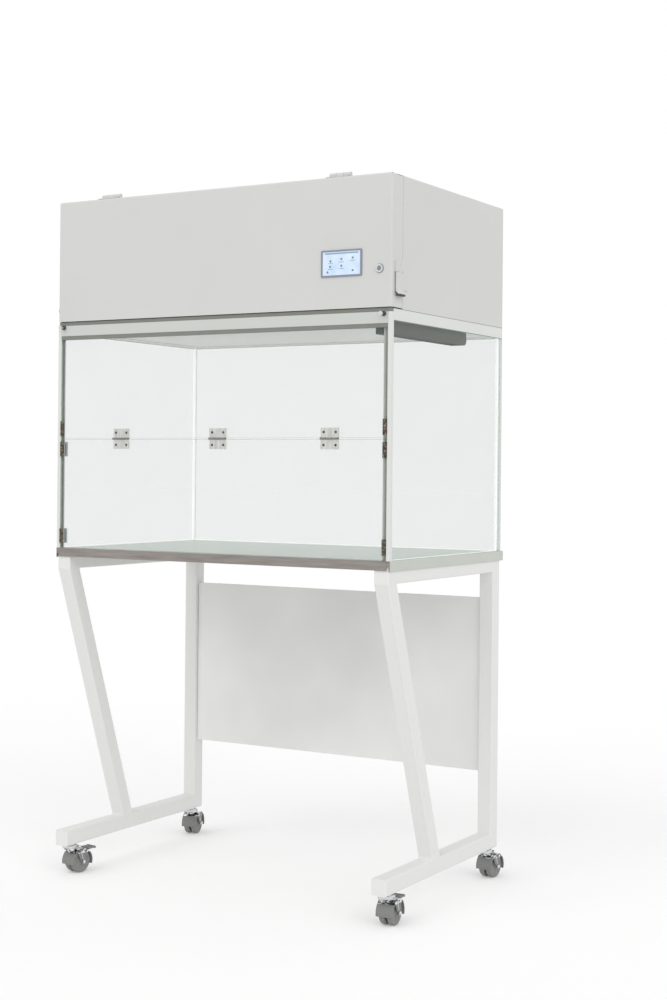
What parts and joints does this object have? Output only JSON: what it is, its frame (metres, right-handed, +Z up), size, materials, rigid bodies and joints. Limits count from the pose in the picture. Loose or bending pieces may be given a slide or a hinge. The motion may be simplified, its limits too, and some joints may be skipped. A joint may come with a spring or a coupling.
{
  "type": "laminar flow hood",
  "caption": "Laminar flow hood with a folding glass front, steel worktop, filter and fan housing with a hinged front cover, on an open wheeled stand.",
  "frame": {"origin": "on the floor, under the middle of the cabinet's footprint", "axes": "+Z up, +X to the operator's right, +Y from the operator's side to the rear wall"},
  "size_m": [1.0258, 0.6686, 1.789],
  "materials": {
    "white_paint": "smooth white powder coat",
    "stand_paint": "satin off-white powder coat",
    "pan_paint": "taupe grey satin paint",
    "steel": "satin stainless steel",
    "dark_screw": "blackened screw heads",
    "chrome": "bright chrome plating",
    "galvanised": "plain zinc-coated sheet",
    "side_pane": "clear toughened glass, faint green edge",
    "sash_pane": "clear toughened glass, faint green edge",
    "lamp_glass": "clear quartz tube",
    "lamp_paint": "dark olive-grey paint",
    "dark_plate": "black satin paint",
    "gasket": "soft dark sealing strip",
    "bezel": "dark slate plastic",
    "screen": "light blue touch screen",
    "castor_plastic": "dark grey moulded plastic",
    "castor_tread": "dark grey tread",
    "filter_paper": "white pleated filter paper",
    "prefilter_fleece": "coarse pale fleece",
    "filter_frame": "extruded aluminium frame",
    "fan": "dark coated sheet",
    "inlet_plastic": "black plastic"
  },
  "bodies": {
    "cabinet": {"base_pan": "pan_paint", "cabinet_screws": "dark_screw", "castor_stems": "chrome", "catch_magnets": "dark_plate", "control_unit": "galvanised", "cover_hinge_fixed_leaves": "white_paint", "diffuser": "white_paint", "fan_deck": "galvanised", "fan_motor": "fan", "filter_frame": "filter_frame", "filter_media": "filter_paper", "front_posts": "white_paint", "gaskets": "gasket", "header": "white_paint", "intake_grille": "white_paint", "lamp_housing": "lamp_paint", "lamp_tube": "lamp_glass", "left_side_frame": "stand_paint", "left_side_glass": "side_pane", "lock_strike": "galvanised", "mains_inlet": "inlet_plastic", "modesty_panel": "stand_paint", "motor_bracket": "galvanised", "plenum_housing": "white_paint", "prefilter": "prefilter_fleece", "rear_glass": "side_pane", "rear_posts": "steel", "right_side_frame": "stand_paint", "right_side_glass": "side_pane", "sash_stay_pins": "chrome", "top_frame": "white_paint", "upper_hinge_leaves": "steel", "upper_sash": "sash_pane", "upper_sash_clips": "dark_plate", "worktop": "steel"},
    "cover": {"front_cover": "white_paint", "display_bezel": "bezel", "display_screen": "screen", "lock_body": "chrome", "cover_hinge_moving_leaves": "white_paint", "latch_plates": "white_paint"},
    "lock": {"lock_plug": "chrome"},
    "left_latch": {"left_latch_lever": "white_paint"},
    "right_latch": {"right_latch_lever": "white_paint"},
    "sash": {"lower_sash": "sash_pane", "lower_hinge_leaves": "steel", "catch_plates": "dark_plate", "sash_screws": "dark_screw"},
    "fan_wheel": {"impeller": "fan"},
    "front_left_castor": {"front_left_fork": "castor_plastic"},
    "front_left_wheel_pair": {"front_left_wheels": "castor_tread"},
    "front_right_castor": {"front_right_fork": "castor_plastic"},
    "front_right_wheel_pair": {"front_right_wheels": "castor_tread"},
    "rear_left_castor": {"rear_left_fork": "castor_plastic"},
    "rear_left_wheel_pair": {"rear_left_wheels": "castor_tread"},
    "rear_right_castor": {"rear_right_fork": "castor_plastic"},
    "rear_right_wheel_pair": {"rear_right_wheels": "castor_tread"},
    "front_left_brake": {"front_left_pedal": "castor_plastic"},
    "front_right_brake": {"front_right_pedal": "castor_plastic"}
  },
  "joints": [
    {"name": "cover_swing", "type": "hinge", "parent": "cabinet", "child": "cover", "pos_m": [0, -0.285, 1.783], "axis": [-1, 0, 0], "range_deg": [0, 80]},
    {"name": "sash_fold", "type": "hinge", "parent": "cabinet", "child": "sash", "pos_m": [0, -0.312, 1.15175], "axis": [-1, 0, 0], "range_deg": [0, 178]},
    {"name": "impeller_spin", "type": "hinge", "parent": "cabinet", "child": "fan_wheel", "pos_m": [0, 0.0265, 1.593], "axis": [0, 0, 1], "continuous": true},
    {"name": "lock_turn", "type": "hinge", "parent": "cover", "child": "lock", "pos_m": [0.467, -0.285, 1.551], "axis": [0, -1, 0], "range_deg": [0, 90]},
    {"name": "left_latch_swing", "type": "hinge", "parent": "cover", "child": "left_latch", "pos_m": [-0.5031, -0.279, 1.545], "axis": [0, 1, 0], "range_deg": [0, 35], "stiffness_Nm_per_rad": 0.3},
    {"name": "right_latch_swing", "type": "hinge", "parent": "cover", "child": "right_latch", "pos_m": [0.5031, -0.279, 1.545], "axis": [0, -1, 0], "range_deg": [0, 35], "stiffness_Nm_per_rad": 0.3},
    {"name": "front_left_swivel", "type": "hinge", "parent": "cabinet", "child": "front_left_castor", "pos_m": [-0.477, -0.272, 0.076], "axis": [0, 0, 1], "continuous": true},
    {"name": "front_left_roll", "type": "hinge", "parent": "front_left_castor", "child": "front_left_wheel_pair", "pos_m": [-0.4731, -0.24427, 0.03], "axis": [0.9903, -0.1392, 0], "continuous": true},
    {"name": "front_right_swivel", "type": "hinge", "parent": "cabinet", "child": "front_right_castor", "pos_m": [0.477, -0.272, 0.076], "axis": [0, 0, 1], "continuous": true},
    {"name": "front_right_roll", "type": "hinge", "parent": "front_right_castor", "child": "front_right_wheel_pair", "pos_m": [0.47505, -0.24407, 0.03], "axis": [0.9976, 0.0698, 0], "continuous": true},
    {"name": "rear_left_swivel", "type": "hinge", "parent": "cabinet", "child": "rear_left_castor", "pos_m": [-0.477, 0.275, 0.076], "axis": [0, 0, 1], "continuous": true},
    {"name": "rear_left_roll", "type": "hinge", "parent": "rear_left_castor", "child": "rear_left_wheel_pair", "pos_m": [-0.48377, 0.30217, 0.03], "axis": [0.9703, 0.2419, 0], "continuous": true},
    {"name": "rear_right_swivel", "type": "hinge", "parent": "cabinet", "child": "rear_right_castor", "pos_m": [0.477, 0.275, 0.076], "axis": [0, 0, 1], "continuous": true},
    {"name": "rear_right_roll", "type": "hinge", "parent": "rear_right_castor", "child": "rear_right_wheel_pair", "pos_m": [0.47993, 0.30285, 0.03], "axis": [0.9945, -0.1045, 0], "continuous": true},
    {"name": "front_left_brake_press", "type": "hinge", "parent": "front_left_castor", "child": "front_left_brake", "pos_m": [-0.46975, -0.2204, 0.05873], "axis": [-0.9903, 0.1392, 0], "range_deg": [0, 22]},
    {"name": "front_right_brake_press", "type": "hinge", "parent": "front_right_castor", "child": "front_right_brake", "pos_m": [0.47336, -0.22002, 0.05873], "axis": [-0.9976, -0.0698, 0], "range_deg": [0, 22]}
  ]
}
